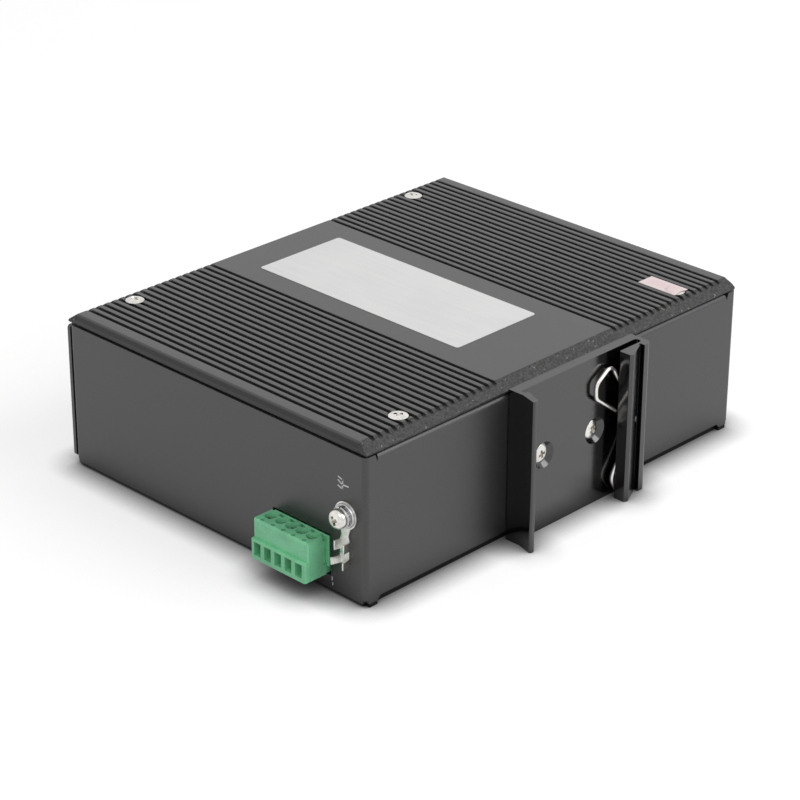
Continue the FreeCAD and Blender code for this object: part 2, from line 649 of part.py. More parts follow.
def plug_screws():
    """Slotted clamp screws, sunk in their wells."""
    screws = []
    for y in pole_positions():
        head = gon(1.4, (SCREW_X, y, WELL_FLOOR), (0, 0, 1), PLUG_SCREW_HEAD)
        shank = gon(0.95, (SCREW_X, y, WELL_FLOOR - 2.6), (0, 0, 1), 2.8, 8)
        slot = box(-1.6, 1.6, -0.22, 0.22, 0, 2)
        slot.rotate(Vec(0, 0, 0), Vec(0, 0, 1), 15 + 40 * (y - PLUG_Y))
        slot.translate(Vec(SCREW_X, y, WELL_FLOOR + PLUG_SCREW_HEAD - 0.6))
        screws.append(fuse(head, shank).cut(slot))
    return screws


def plug_contacts():
    """Box contacts in the tongue, each with a tail that lies on the floor of its clamp."""
    contacts = []
    for y in pole_positions():
        sleeve = box(TONGUE_TIP + 0.3, 65.6, y - 0.9, y + 0.9, PIN_Z - 1.3, PIN_Z + 1.3)
        sleeve = sleeve.cut(box(TONGUE_TIP - 1, 67, y - 0.55, y + 0.55, PIN_Z - 0.75, PIN_Z + 0.75))
        tail = [
            (65.0, PIN_Z - 1.3),
            (67.2, PIN_Z - 1.3),
            (CAGE_X0 - 0.02, CAGE_Z0 + 0.42),
            (CAGE_X1, CAGE_Z0 + 0.42),
            (CAGE_X1, CAGE_Z0 + 0.72),
            (CAGE_X0 - 0.1, CAGE_Z0 + 0.72),
            (67.1, PIN_Z - 1.0),
            (65.0, PIN_Z - 1.0),
        ]
        contacts.append(fuse(sleeve, prism(tail, y - 0.75, y + 0.75, "y")))
    return contacts


def header_housing():
    """Shroud soldered at the board's edge; the plug's tongue slides into it."""
    shell = fuse(
        box(HEADER_X0, HEADER_STEP, HEADER_Y0, HEADER_Y1, BOARD_TOP, HEADER_TOP),
        box(HEADER_STEP, HEADER_FACE, HEADER_Y0, HEADER_Y1, BOARD_TOP + 0.35, HEADER_TOP),
        box(*RAIL),
    )
    low, high = TONGUE_Z0 - 0.15, TONGUE_Z1 + 0.15
    cuts = [box(HEADER_FLOOR, HEADER_FACE + 1, HEADER_Y0 + 0.85, HEADER_Y1 - 0.85, low, high)]
    for y in pole_positions():
        cuts.append(box(HEADER_X0 - 1, HEADER_FLOOR + 1, y - 0.42, y + 0.42, PIN_Z - 0.42, PIN_Z + 0.42))
    return cut(shell, *cuts)


def header_pins():
    """Square pins bent down through the board."""
    pins = []
    for y in pole_positions():
        side = [
            (HEADER_X0 - 1.6, PIN_Z),
            (HEADER_X0 - 1.2, PIN_Z + 0.4),
            (65.0, PIN_Z + 0.4),
            (65.3, PIN_Z),
            (65.0, PIN_Z - 0.4),
            (HEADER_X0 - 0.8, PIN_Z - 0.4),
            (HEADER_X0 - 0.8, 1.9),
            (HEADER_X0 - 1.6, 1.9),
        ]
        pins.append(prism(side, y - 0.4, y + 0.4, "y"))
    return pins


# ---------------------------------------------------------------- circuit board and what stands on it
def circuit_board():
    board = box(-65.6, 65.6, WALL_FRONT + 1.4, BACK - 2.1, BOARD_BOTTOM, BOARD_TOP)
    holes = [gon(1.65, (x, y, 0), (0, 0, 1), 8) for x, y in STANDOFF_SPOTS]
    leg = HEADER_X0 - 1.2
    holes += [box(leg - 0.5, leg + 0.5, y - 0.5, y + 0.5, 0, 8) for y in pole_positions()]
    return cut(board, *holes)


def board_standoffs():
    """Hexagonal tapped standoffs on the base."""
    posts = []
    for x, y in STANDOFF_SPOTS:
        post = gon(3.0, (x, y, SHEET), (0, 0, 1), BOARD_BOTTOM - SHEET, 6)
        posts.append(post.cut(gon(1.58, (x, y, 0), (0, 0, 1), 4)))
    return posts


def board_screws():
    """Cylinder head screws with a straight slot."""
    screws = []
    for x, y in STANDOFF_SPOTS:
        head = gon(2.6, (x, y, BOARD_TOP), (0, 0, 1), 1.8)
        shank = gon(1.5, (x, y, SHEET + 0.1), (0, 0, 1), BOARD_TOP - SHEET)
        slot = box(x - 3, x + 3, y - 0.4, y + 0.4, BOARD_TOP + 0.9, BOARD_TOP + 3)
        screws.append(fuse(head, shank).cut(slot))
    return screws


def column_positions():
    return [JACK_X + JACK_PITCH * (k - (JACK_COLUMNS - 1) / 2) for k in range(JACK_COLUMNS)]


def jack_housing():
    """Stacked block of eight sockets, each with a stepped notch for the plug's latch."""
    x0, x1 = JACK_X - JACK_WIDTH / 2 + SHIELD, JACK_X + JACK_WIDTH / 2 - SHIELD
    block = box(x0, x1, JACK_FRONT, JACK_FRONT + JACK_DEPTH - SHIELD, BOARD_TOP, BOARD_TOP + JACK_HEIGHT - SHIELD)
    cuts = []
    for x in column_positions():
        for z, side in PORT_ROWS:
            y0, y1 = JACK_FRONT - 1, JACK_FRONT + PORT_DEPTH
            cuts.append(box(x - PORT_WIDTH / 2, x + PORT_WIDTH / 2, y0, y1, z, z + PORT_HEIGHT))
            edge = z if side < 0 else z + PORT_HEIGHT
            for half, reach in ((3.1, 1.4), (2.0, 2.6)):
                low, high = sorted((edge, edge + side * reach))
                cuts.append(box(x - half, x + half, y0, y1, low, high))
    return cut(block, *cuts)


def jack_shield():
    """Thin folded sheet over the block, open at the front and underneath."""
    x0, x1 = JACK_X - JACK_WIDTH / 2, JACK_X + JACK_WIDTH / 2
    y0, y1 = JACK_FRONT + 0.2, JACK_FRONT + JACK_DEPTH
    top = BOARD_TOP + JACK_HEIGHT
    cover = box(x0, x1, y0, y1, BOARD_TOP, top)
    cover = cover.cut(box(x0 + SHIELD, x1 - SHIELD, y0 - 1, y1 - SHIELD, BOARD_TOP - 1, top - SHIELD))
    windows = []
    for x in column_positions():
        for dx in (-3.2, 3.2):
            windows.append(box(x + dx - 0.9, x + dx + 0.9, y0 + 3, y0 + 9, top - 1, top + 1))
    return cut(cover, *windows)


def jack_contacts():
    """Sprung contact wires, eight to a socket, that lean back from the wall opposite the latch."""
    wires = []
    for x in column_positions():
        for z, side in PORT_ROWS:
            wall = z + PORT_HEIGHT if side < 0 else z
            front, rear = JACK_FRONT + 2.2, JACK_FRONT + 9.5
            reach = wall + side * 2.1
            outline = [(front, wall), (front + 0.5, wall), (rear, reach), (rear - 0.5, reach)]
            for k in range(CONTACTS):
                xc = x + CONTACT_PITCH * (k - (CONTACTS - 1) / 2)
                wires.append(prism(outline, xc - 0.15, xc + 0.15, "x"))
    return wires


def led_holder():
    """Right-angle block behind the panel that carries the lamps."""
    x0, x1 = LED_SPOTS[0] - 3, LED_SPOTS[-1] + 3
    block = box(x0, x1, WALL_FRONT + SHEET + 0.3, WALL_FRONT + 9, BOARD_TOP, LED_Z + 2.6)
    return cut(block, *[lamp_bar(x, FRONT - 1, FRONT + 8, 0.03) for x in LED_SPOTS])


def status_leds():
    """Clear bars that reach through the panel, with a bevelled end."""
    lamps = []
    for x in LED_SPOTS:
        bar = lamp_bar(x, FRONT, FRONT + 7.8)
        front = [e for e in bar.Edges if e.BoundBox.YMax < FRONT + 0.1]
        lamps.append(bar.makeChamfer(0.3, front))
    return lamps


def bevelled_block(x0, x1, y0, y1, height, bevel):
    """Moulded package on the board whose upper edges are bevelled."""
    body = box(x0, x1, y0, y1, BOARD_TOP, BOARD_TOP + height)
    top = [e for e in body.Edges if e.BoundBox.ZMin > BOARD_TOP + height / 2]
    return body.makeChamfer(bevel, top)


def switch_chip():
    x, y = CHIP
    return bevelled_block(x - 12, x + 12, y - 12, y + 12, 1.6, 0.3)


def thermal_pad():
    x, y = CHIP
    return box(x - 11, x + 11, y - 11, y + 11, BOARD_TOP + 1.6, BOARD_TOP + 2.1)


def chip_heatsink():
    """Extruded comb of fins on the switch chip."""
    x, y = CHIP
    foot = BOARD_TOP + 2.1
    fins = 8
    pitch = 30.0 / (fins - 0.5)
    outline = [(x - 15, foot), (x + 15, foot)]
    for k in range(fins):
        right = x + 15 - k * pitch
        outline += [(right, foot + 11), (right - 1.4, foot + 11)]
        if k < fins - 1:
            outline += [(right - 1.6, foot + 2.2), (right - pitch + 0.1, foot + 2.2)]
    outline[-1] = (x - 15, foot + 11)
    return prism(outline, y - 15, y + 15, "y")


def network_transformers():
    return [bevelled_block(x - 5.8, x + 5.8, -26.5, -18.0, 6.2, 0.6) for x in column_positions()]


def power_inductor():
    return bevelled_block(34, 46, 24, 36, 6.5, 1.2)


def bulk_capacitors():
    """Electrolytic cans, standing."""
    return [gon(5.0, (x, y, BOARD_TOP), (0, 0, 1), 16.0, 24) for x, y in CAN_SPOTS]


def input_fuse():
    body = box(36, 46, 40.2, 43.2, BOARD_TOP, BOARD_TOP + 3)
    return fuse(body, box(35, 37.5, 40, 43.4, BOARD_TOP, BOARD_TOP + 3.2), box(44.5, 47, 40, 43.4, BOARD_TOP, BOARD_TOP + 3.2))


def alarm_relay():
    return bevelled_block(33, 48, 8, 18, 11.5, 0.5)


def main():
    os.makedirs(OUT, exist_ok=True)
    single = {
        "chassis": chassis,
        "front_panel": front_panel,
        "finned_cover": finned_cover,
        "rating_label": rating_label,
        "seal_sticker": seal_sticker,
        "din_clip": din_clip,
        "clip_spring": clip_spring,
        "ground_ring_terminal": ground_ring_terminal,
        "ground_flat_washer": ground_flat_washer,
        "ground_lock_washer": ground_lock_washer,
        "ground_screw": ground_screw,
        "plug_housing": plug_housing,
        "header_housing": header_housing,
        "circuit_board": circuit_board,
        "jack_housing": jack_housing,
        "jack_shield": jack_shield,
        "led_holder": led_holder,
        "switch_chip": switch_chip,
        "thermal_pad": thermal_pad,
        "chip_heatsink": chip_heatsink,
        "power_inductor": power_inductor,
        "input_fuse": input_fuse,
        "alarm_relay": alarm_relay,
    }
    groups = {
        "cover_screws": cover_screws,
        "clip_screws": clip_screws,
        "clinch_nuts": clinch_nuts,
        "plug_clamps": plug_clamps,
        "plug_screws": plug_screws,
        "plug_contacts": plug_contacts,
        "header_pins": header_pins,
        "board_standoffs": board_standoffs,
        "board_screws": board_screws,
        "jack_contacts": jack_contacts,
        "status_leds": status_leds,
        "network_transformers": network_transformers,
        "bulk_capacitors": bulk_capacitors,
    }
    for name, make in single.items():
        save(name, make())
    for name, make in groups.items():
        save_group(name, make())


main()
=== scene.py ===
import math

import bpy
import bmesh
from mathutils import Matrix, Vector


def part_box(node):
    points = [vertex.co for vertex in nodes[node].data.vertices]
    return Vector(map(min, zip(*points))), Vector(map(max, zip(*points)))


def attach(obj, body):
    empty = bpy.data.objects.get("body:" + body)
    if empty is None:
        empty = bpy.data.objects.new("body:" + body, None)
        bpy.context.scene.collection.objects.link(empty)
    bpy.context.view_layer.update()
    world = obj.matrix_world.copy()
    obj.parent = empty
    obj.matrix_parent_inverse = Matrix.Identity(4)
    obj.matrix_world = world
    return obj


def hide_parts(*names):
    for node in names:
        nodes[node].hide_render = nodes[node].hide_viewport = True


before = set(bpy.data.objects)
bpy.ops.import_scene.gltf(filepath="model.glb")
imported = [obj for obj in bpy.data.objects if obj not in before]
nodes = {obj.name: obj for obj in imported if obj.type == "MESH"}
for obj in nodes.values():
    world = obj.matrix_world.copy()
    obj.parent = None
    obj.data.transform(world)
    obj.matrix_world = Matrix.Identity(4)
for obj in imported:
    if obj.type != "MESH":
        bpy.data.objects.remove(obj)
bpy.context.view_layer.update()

mm = 0.001
mergeGap = 0.002 * mm  # corners closer than this become one


def plug(tree, slot, value):
    if isinstance(value, Wire):
        tree.links.new(value.socket, slot)
    else:
        slot.default_value = value


def addNode(tree, kind, settings=None, sockets=None):
    made = tree.nodes.new(kind)
    for key, value in (settings or {}).items():
        setattr(made, key, value)
    for key, value in (sockets or {}).items():
        plug(tree, made.inputs[key], value)
    return made


# a wrapped socket, so that shader maths reads as Python
class Wire:
    def __init__(self, tree, socket):
        self.tree = tree
        self.socket = socket

    def math(self, operation, *values):
        made = addNode(self.tree, "ShaderNodeMath", {"operation": operation}, dict(enumerate(values)))
        return Wire(self.tree, made.outputs[0])

    def __add__(self, other):
        return self.math("ADD", self, other)

    def __radd__(self, other):
        return self.math("ADD", other, self)

    def __sub__(self, other):
        return self.math("SUBTRACT", self, other)

    def __rsub__(self, other):
        return self.math("SUBTRACT", other, self)

    def __mul__(self, other):
        return self.math("MULTIPLY", self, other)

    def __rmul__(self, other):
        return self.math("MULTIPLY", other, self)

    def __pow__(self, other):
        return self.math("POWER", self, other)

    def __or__(self, other):
        return self.math("MAXIMUM", self, other)  # either mask

    def __lt__(self, other):
        return self.math("LESS_THAN", self, other)

    def __abs__(self):
        return self.math("ABSOLUTE", self)


def tone(r, g, b):
    return (r, g, b, 1.0)


def shade(colour, factor):
    return tone(*[min(1.0, c * factor) for c in colour])


class Paint:
    def __init__(self, name, **fixed):
        self.material = bpy.data.materials.new(name)
        self.material.use_nodes = True
        self.tree = self.material.node_tree
        self.shader = self.tree.nodes["Principled BSDF"]
        for key, value in fixed.items():
            self.shader.inputs[key.replace("_", " ")].default_value = value

    def add(self, kind, settings=None, sockets=None, output=0):
        return Wire(self.tree, addNode(self.tree, kind, settings, sockets).outputs[output])

    def place(self, scale=(1, 1, 1)):
        spot = self.add("ShaderNodeTexCoord", output="Object")
        if scale == (1, 1, 1):
            return spot
        return self.add("ShaderNodeMapping", sockets={"Vector": spot, "Scale": scale})

    def axes(self):
        split = addNode(self.tree, "ShaderNodeSeparateXYZ", sockets={"Vector": self.place()})
        return [Wire(self.tree, output) for output in split.outputs]

    def noise(self, size, detail=2.0, scale=(1, 1, 1), rough=0.5):
        return self.add("ShaderNodeTexNoise", sockets={
            "Vector": self.place(scale), "Scale": 1 / size, "Detail": detail, "Roughness": rough})

    def blend(self, factor, first, second):
        return self.add("ShaderNodeMix", {"data_type": "RGBA"}, {0: factor, 6: first, 7: second}, output=2)

    def step(self, value, low, high, first=0.0, last=1.0):
        return self.add("ShaderNodeMapRange", {"interpolation_type": "SMOOTHSTEP"}, {
            "Value": value, "From Min": low, "From Max": high, "To Min": first, "To Max": last})

    def mottle(self, first, second, share, edges, dark, light):
        # two patterns together decide between a darker and a lighter tone
        return self.blend(self.step(first * share + second * (1 - share), *edges), dark, light)

    def finish(self, colour, roughness=None, height=None, depth=None):
        plug(self.tree, self.shader.inputs["Base Color"], colour)
        if roughness is not None:
            plug(self.tree, self.shader.inputs["Roughness"], roughness)
        if height is not None:
            bump = self.add("ShaderNodeBump", sockets={"Height": height, "Distance": depth, "Strength": 1.0})
            plug(self.tree, self.shader.inputs["Normal"], bump)
        return self.material

    def paintedShade(self, factor, specular):
        # painted shade: a less reflective copy of the coat mixed over part of the surface, fed as the first one
        # is
        sockets = {"Specular IOR Level": specular}
        for key in ("Base Color", "Roughness", "Normal"):
            sockets[key] = Wire(self.tree, self.shader.inputs[key].links[0].from_socket)
        coat = self.add("ShaderNodeBsdfPrincipled", sockets=sockets, output="BSDF")
        first = Wire(self.tree, self.shader.outputs["BSDF"])
        both = self.add("ShaderNodeMixShader", sockets={0: factor, 1: first, 2: coat})
        plug(self.tree, self.tree.nodes["Material Output"].inputs["Surface"], both)
        return self.material


# painted steel and anodised clip; sizes in metres unless said, colours linear
sheetValues = {
    "colour": (0.020, 0.0195, 0.0195), "speckle": 0.25, "specular": 0.85, "rough": 0.40,
    "grain": 0.00045, "cloud": 0.016, "depth": 0.000010,
    # painted shade over the base's edge in the open seam: its specular level, and the height where it fades out
    "seamShadeSpecular": 0.05, "seamTop": (0.85, 1.15),  # mm above the ground
}
panelValues = dict(sheetValues, rough=0.35)
clipValues = {
    "colour": (0.0025, 0.0024, 0.0024), "speckle": 0.15, "specular": 1.0, "rough": 0.16,
    "grain": 0.00100, "cloud": 0.016, "depth": 0.000003,
}
coatValues = {
    "share": 0.8, "edges": (0.32, 0.68),  # part of the grit in the speckle, and how hard it is
    "gritRough": 0.16, "cloudRough": 0.05,
    "peelSize": 3, "peelShare": 0.7,      # next to the grit's
}


def paintedSteel(name, values):
    paint = Paint(name, Specular_IOR_Level=values["specular"])
    grit = paint.noise(values["grain"], 3.0, rough=0.6)
    cloud = paint.noise(values["cloud"], 3.0)
    dark = shade(values["colour"], 1 - values["speckle"])
    light = shade(values["colour"], 1 + values["speckle"])
    mixed = paint.mottle(grit, cloud, coatValues["share"], coatValues["edges"], dark, light)
    rough = values["rough"] + (grit - 0.5) * coatValues["gritRough"] + (cloud - 0.5) * coatValues["cloudRough"]
    peel = paint.noise(values["grain"] * coatValues["peelSize"], 1.0)
    paint.finish(mixed, rough, grit + peel * coatValues["peelShare"], values["depth"])
    if "seamTop" in values:
        # painted shade: the base's edge behind the open seam is darkened, as no light reaches it
        low, high = values["seamTop"]
        seam = paint.step(paint.axes()[2], low * mm, high * mm, 1.0, 0.0)
        paint.paintedShade(seam, values["seamShadeSpecular"])
    return paint.material


coverValues = {
    "colour": (0.016, 0.0155, 0.0155), "speckle": 0.3, "specular": 1.0, "rough": 0.36,
    "grain": 0.00045, "cloud": 0.02, "depth": 0.000020, "gritRough": 0.18,
    "endRun": 3.0, "endSoft": 0.1, "endRough": 0.10,  # mm, the milled slope at both ends
    "sandGrit": 0.6,
    "sandSize": 0.00075, "sandEdges": (0.40, 0.62), "sandDepth": 4.0, "sandShare": 0.85,
    "sandDark": (0.006, 0.006, 0.006), "sandLight": (0.060, 0.058, 0.057),
    "speckSize": 0.0009, "speckEdges": (0.70, 0.76), "speckShare": 0.6, "speck": (0.30, 0.29, 0.28),
    # painted shade on the grooves and the milled slopes: its specular level, and where it starts below the
    # ridges
    "paintedShadeSpecular": 0.45, "paintedShadeDepth": (0.15, 0.75),  # mm below the ridges
}


def coatedCover():
    # sand-grained coat; the milled slopes are coarser, with bright specks; painted shade, a less reflective
    # coat, darkens the milled slopes and the grooves
    values = coverValues
    paint = Paint("coverCoat", Specular_IOR_Level=values["specular"])
    x, y, z = paint.axes()
    grit = paint.noise(values["grain"], 3.0, rough=0.6)
    coarse = paint.noise(values["sandSize"], 2.0, rough=0.7)
    cloud = paint.noise(values["cloud"], 2.0)
    low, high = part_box("finned_cover")
    half = (high.y - low.y) / 2
    run, soft = values["endRun"], values["endSoft"]
    ends = paint.step(abs(y - (low.y + high.y) / 2), half - (run + soft) * mm, half - (run - soft) * mm)
    dark = shade(values["colour"], 1 - values["speckle"])
    light = shade(values["colour"], 1 + values["speckle"])
    coat = paint.mottle(grit, cloud, coatValues["share"], coatValues["edges"], dark, light)
    dark, light = tone(*values["sandDark"]), tone(*values["sandLight"])
    sand = paint.mottle(coarse, grit, values["sandGrit"], values["sandEdges"], dark, light)
    coat = paint.blend(ends * values["sandShare"], coat, sand)
    specks = paint.step(paint.noise(values["speckSize"], 1.0), *values["speckEdges"]) * ends
    coat = paint.blend(specks * values["speckShare"], coat, tone(*values["speck"]))
    rough = values["rough"] + (grit - 0.5) * values["gritRough"] + ends * values["endRough"]
    paint.finish(coat, rough, grit + coarse * ends * values["sandDepth"], values["depth"])
    first, last = values["paintedShadeDepth"]
    below = paint.step(high.z - z, first * mm, last * mm)
    return paint.paintedShade(ends | below, values["paintedShadeSpecular"])


# plated and bare metal
metalValues = {
    "nickel": {"name": "nickelPlate", "colour": (0.83, 0.81, 0.77), "rough": 0.20},
    "wire": {"name": "springWire", "colour": (0.80, 0.77, 0.75), "rough": 0.20, "wear": 0.08},
    "zinc": {"name": "zincPlate", "colour": (0.70, 0.71, 0.70), "rough": 0.26},
    "washer": {"name": "washerZinc", "colour": (0.66, 0.66, 0.66), "rough": 0.30, "wear": 0.3, "size": 0.0009},
    "tin": {"name": "tinPlate", "colour": (0.78, 0.77, 0.74), "rough": 0.30, "wear": 0.2, "size": 0.0012},
    "gold": {"name": "goldPlate", "colour": (0.85, 0.66, 0.30), "rough": 0.22},
    "alloy": {"name": "bareAlloy", "colour": (0.66, 0.66, 0.67), "rough": 0.38},
}


metalGrain = {"size": 0.0003, "share": 0.6, "edges": (0.35, 0.65), "roughSwing": 0.2, "depth": 0.000004}


def plated(name, colour, rough, wear=0.25, size=0.0018):
    grain = metalGrain
    paint = Paint(name, Metallic=1.0)
    fine = paint.noise(grain["size"], 3.0)
    broad = paint.noise(size, 2.0)
    mixed = paint.mottle(broad, fine, grain["share"], grain["edges"], shade(colour, 1 - wear), tone(*colour))
    return paint.finish(mixed, rough + (broad - 0.5) * grain["roughSwing"], fine, grain["depth"])


# moulded, printed and ceramic pieces
mouldedValues = {
    "green": {"name": "terminalGreen", "colour": (0.26, 0.75, 0.42), "rough": 0.34},
    "black": {"name": "socketBlack", "colour": (0.016, 0.016, 0.017), "rough": 0.40},
    "board": {"name": "solderMask", "colour": (0.02, 0.15, 0.06), "rough": 0.3},
    "package": {"name": "packageBlack", "colour": (0.02, 0.02, 0.022), "rough": 0.5},
    "pad": {"name": "padBlue", "colour": (0.40, 0.47, 0.56), "rough": 0.7},
    "ceramic": {"name": "fuseCeramic", "colour": (0.72, 0.70, 0.64), "rough": 0.4},
    "relay": {"name": "relayCover", "colour": (0.45, 0.47, 0.48), "rough": 0.35},
    "lamp": {"name": "lampLens", "colour": (0.70, 0.76, 0.66), "rough": 0.22},
    "print": {"name": "whitePrint", "colour": (0.80, 0.80, 0.80), "rough": 0.5, "shift": 0.04},
}


mouldedGrain = {
    "size": 0.0004, "cloud": 0.005, "share": 0.7, "edges": (0.35, 0.65), "roughSwing": 0.15, "depth": 0.000006,
}


def moulded(name, colour, rough, shift=0.10):
    grain = mouldedGrain
    paint = Paint(name, Specular_IOR_Level=0.5)
    fine = paint.noise(grain["size"], 2.0)
    broad = paint.noise(grain["cloud"], 2.0)
    dark, light = shade(colour, 1 - shift), shade(colour, 1 + shift)
    mixed = paint.mottle(broad, fine, grain["share"], grain["edges"], dark, light)
    return paint.finish(mixed, rough + (fine - 0.5) * grain["roughSwing"], fine, grain["depth"])


labelValues = {
    "dark": (0.79, 0.792, 0.792), "light": (0.84, 0.84, 0.835), "rough": 0.42,
    "brush": 0.0011, "stretch": (1, 0.06, 1), "cloud": 0.02, "depth": 0.000003,
    "share": 0.5, "edges": (0.35, 0.65), "roughSwing": 0.12,
}


def labelFilm():
    # plain silver-white film, faintly brushed along its length
    values = labelValues
    paint = Paint("labelFilm", Specular_IOR_Level=0.5)
    brushed = paint.noise(values["brush"], 4.0, values["stretch"], 0.6)
    cloud = paint.noise(values["cloud"], 2.0)
    dark, light = tone(*values["dark"]), tone(*values["light"])
    mixed = paint.mottle(brushed, cloud, values["share"], values["edges"], dark, light)
    rough = values["rough"] + (brushed - 0.5) * values["roughSwing"]
    return paint.finish(mixed, rough, brushed, values["depth"])


sealValues = {
    "dark": (0.93, 0.83, 0.83), "light": (0.97, 0.90, 0.90), "pink": (0.74, 0.36, 0.38),
    "border": (1.3, 1.5), "borderShare": 0.225, "innerShare": 0.3375,  # mm in from the edges, shares of pink
    "fibre": 0.0006, "depth": 0.000004, "rough": 0.4, "roughSwing": 0.1,
}


def sealFilm():
    # pale pink film, paler along its border, nothing written on it
    values = sealValues
    paint = Paint("sealFilm")
    x, y, z = paint.axes()
    low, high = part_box("seal_sticker")
    middle, half = (low + high) / 2, (high - low) / 2
    borderX, borderY = values["border"]
    inside = (abs(x - middle.x) < half.x - borderX * mm) * (abs(y - middle.y) < half.y - borderY * mm)
    pink = values["borderShare"] + inside * (values["innerShare"] - values["borderShare"])
    fibre = paint.noise(values["fibre"], 3.0)
    film = paint.blend(fibre, tone(*values["dark"]), tone(*values["light"]))
    film = paint.blend(pink, film, tone(*values["pink"]))
    rough = values["rough"] + (fibre - 0.5) * values["roughSwing"]
    return paint.finish(film, rough, fibre, values["depth"])


finishes = {
    "chassis": paintedSteel("steelCoat", sheetValues),
    "front_panel": paintedSteel("panelCoat", panelValues),
    "finned_cover": coatedCover(),
    "din_clip": paintedSteel("clipCoat", clipValues),
    "rating_label": labelFilm(),
    "seal_sticker": sealFilm(),
}
finishes.update({key: plated(**values) for key, values in metalValues.items()})
finishes.update({key: moulded(**values) for key, values in mouldedValues.items()})
nodeFinish = {
    "cover_screws": "nickel", "ground_screw": "nickel", "clip_spring": "wire", "clip_screws": "nickel",
    "clinch_nuts": "zinc", "ground_lock_washer": "washer", "ground_flat_washer": "washer",
    "ground_ring_terminal": "tin", "plug_housing": "green", "plug_screws": "zinc", "plug_clamps": "zinc",
    "plug_contacts": "tin", "header_housing": "green", "header_pins": "tin", "circuit_board": "board",
    "board_standoffs": "zinc", "board_screws": "zinc", "jack_housing": "black", "jack_shield": "tin",
    "jack_contacts": "gold", "led_holder": "black", "status_leds": "lamp", "switch_chip": "package",
    "thermal_pad": "pad", "chip_heatsink": "alloy", "network_transformers": "package",
    "power_inductor": "package", "bulk_capacitors": "alloy", "input_fuse": "ceramic", "alarm_relay": "relay",
}
for name, piece in nodes.items():
    piece.data.materials.clear()
    piece.data.materials.append(finishes[nodeFinish.get(name, name)])
bpy.ops.object.select_all(action="DESELECT")
print("finishes ready:", len(finishes))


def only(piece):
    bpy.ops.object.select_all(action="DESELECT")
    piece.select_set(True)
    bpy.context.view_layer.objects.active = piece


def editing(piece, mode):
    only(piece)
    bpy.ops.object.mode_set(mode="EDIT")
    bpy.ops.mesh.select_mode(type=mode)
    bpy.ops.mesh.select_all(action="DESELECT")


def done():
    bpy.ops.object.mode_set(mode="OBJECT")


def settle(piece):
    # puts the place, turn and scale into the mesh
    only(piece)
    bpy.ops.object.transform_apply(location=True, rotation=True, scale=True)


def modify(piece, kind, **settings):
    only(piece)
    made = piece.modifiers.new(kind.lower(), kind)
    for key, value in settings.items():
        setattr(made, key, value)
    bpy.ops.object.modifier_apply(modifier=made.name)


def tidy(piece):
    only(piece)
    bpy.ops.object.mode_set(mode="EDIT")
    bpy.ops.mesh.select_all(action="SELECT")
    bpy.ops.mesh.remove_doubles(threshold=mergeGap)
    bpy.ops.mesh.normals_make_consistent(inside=False)
    done()


def smooth(piece, degrees):
    only(piece)
    bpy.ops.object.shade_smooth_by_angle(angle=math.radians(degrees))


def dress(piece, name, finish, body, replaced=()):
    piece.name = name
    piece.data.name = name
    piece.data.materials.clear()
    piece.data.materials.append(finishes[finish])
    settle(piece)
    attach(piece, body)
    if replaced:
        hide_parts(*replaced)


def join(pieces):
    only(pieces[0])
    for piece in pieces[1:]:
        piece.select_set(True)
    bpy.ops.object.join()
    return bpy.context.view_layer.objects.active


def block(place, size):
    bpy.ops.mesh.primitive_cube_add(size=1, location=place)
    made = bpy.context.object
    made.scale = [length * mm for length in size]
    return made


def lathe(centre, axis, profile, steps=40):
    # one corner is drawn out along the profile and spun round the axis
    axis = Vector(axis)
    side = Vector((0, 0, 1)) if abs(axis.z) < 0.5 else Vector((1, 0, 0))
    spots = [Vector(centre) + side * (r * mm) + axis * (h * mm) for r, h in profile]
    bpy.ops.mesh.primitive_plane_add(size=10 * mm, location=spots[0])
    piece = bpy.context.object
    settle(piece)
    editing(piece, "VERT")
    shape = bmesh.from_edit_mesh(piece.data)
    shape.verts.ensure_lookup_table()
    for corner in shape.verts[1:]:
        corner.select_set(True)
    bpy.ops.mesh.delete(type="VERT")
    bpy.ops.mesh.select_all(action="SELECT")
    here = bmesh.from_edit_mesh(piece.data).verts[:][0].co.copy()
    bpy.ops.transform.translate(value=spots[0] - here)
    for first, last in zip(spots, spots[1:]):
        bpy.ops.mesh.extrude_region_move(TRANSFORM_OT_translate={"value": last - first})
    bpy.ops.mesh.select_all(action="SELECT")
    bpy.ops.mesh.spin(steps=steps, angle=2 * math.pi, center=centre, axis=axis)
    done()
    tidy(piece)
    return piece


crossFoot = (0.35, 0.8, 1)  # share of its length and width that each bar keeps at its foot


def crossCutter(centre, axis, values, turn):
    # two bars, narrower below, crossed
    bars = []
    for quarter in (0, 90):
        bar = block((0, 0, 0), (values["cross"], values["crossWidth"], 2 * values["crossDepth"]))
        settle(bar)
        editing(bar, "FACE")
        for face in bmesh.from_edit_mesh(bar.data).faces:
            face.select_set(face.normal.z < -0.5)
        bpy.ops.transform.resize(value=crossFoot)
        done()
        bar.rotation_euler = (0, 0, math.radians(turn + quarter))
        settle(bar)
        bars.append(bar)
    modify(bars[0], "BOOLEAN", operation="UNION", object=bars[1], solver="EXACT")
    bpy.data.objects.remove(bars[1])
    cutter = bars[0]
    cutter.rotation_euler = Vector(axis).to_track_quat("Z", "Y").to_euler()
    cutter.location = centre
    settle(cutter)
    return cutter


def carve(piece, cutter):
    modify(piece, "BOOLEAN", operation="DIFFERENCE", object=cutter, solver="EXACT")
    bpy.data.objects.remove(cutter)
    tidy(piece)


# degrees: faces this close to flat are one, edges over this are rounded, faces under this are shaded as one
softening = {"flat": 1, "edge": 30, "smooth": 50}


